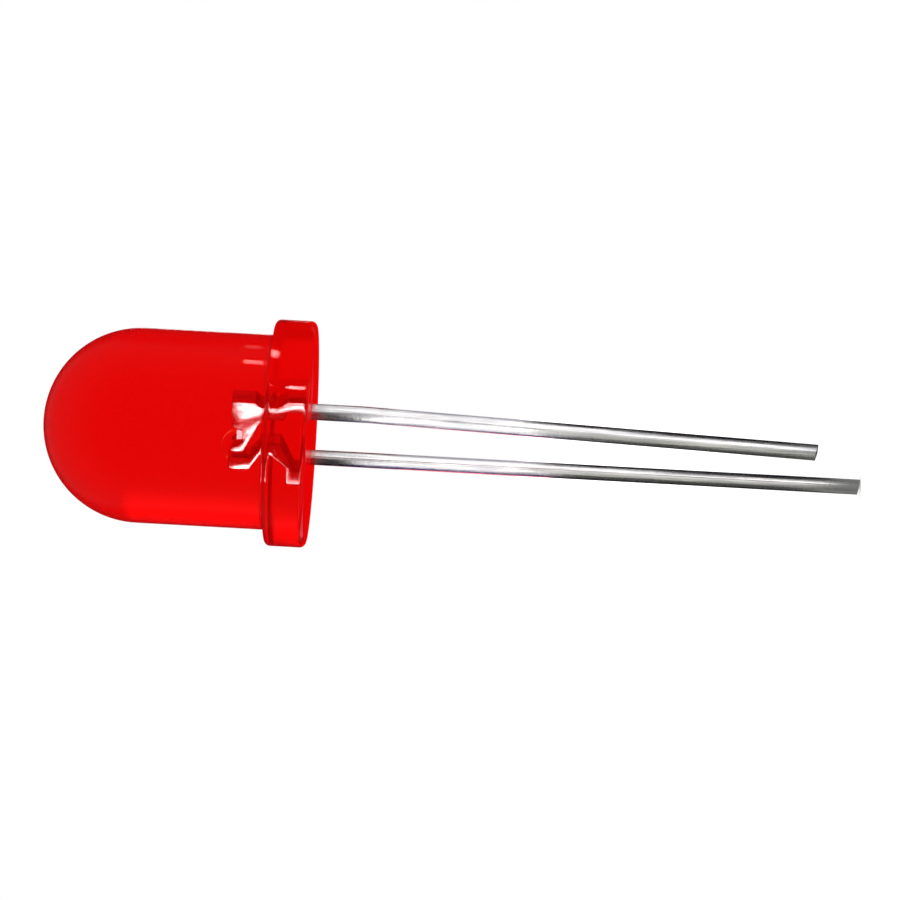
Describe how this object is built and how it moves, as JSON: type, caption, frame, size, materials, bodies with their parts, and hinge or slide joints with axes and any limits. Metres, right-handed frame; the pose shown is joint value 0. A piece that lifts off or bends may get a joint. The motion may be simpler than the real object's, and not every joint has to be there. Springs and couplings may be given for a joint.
{
  "type": "through-hole led",
  "caption": "Red through-hole LED: a round domed lens with a flange and polarity flat, cast over a lead frame with a long anode and a shorter cathode lead.",
  "frame": {"origin": "centre of the flange's seating face, on the optical axis", "axes": "+Z along the optical axis towards the dome, -Z the way the leads leave, +X towards the cathode and the flange's flat"},
  "size_m": [0.0088, 0.0092, 0.0336],
  "materials": {
    "lens_epoxy": "clear moulded epoxy, tinted red, glossy",
    "tinned_lead_frame": "tin-plated stamped steel, bright",
    "semiconductor": "sawn crystal, glossy",
    "silver_epoxy": "silver-filled adhesive, satin",
    "gold_wire": "drawn gold wire, bright"
  },
  "bodies": {
    "root": {"lens": "lens_epoxy", "cathode_lead": "tinned_lead_frame", "anode_lead": "tinned_lead_frame", "die": "semiconductor", "die_attach": "silver_epoxy", "bond_wire": "gold_wire"}
  },
  "joints": []
}
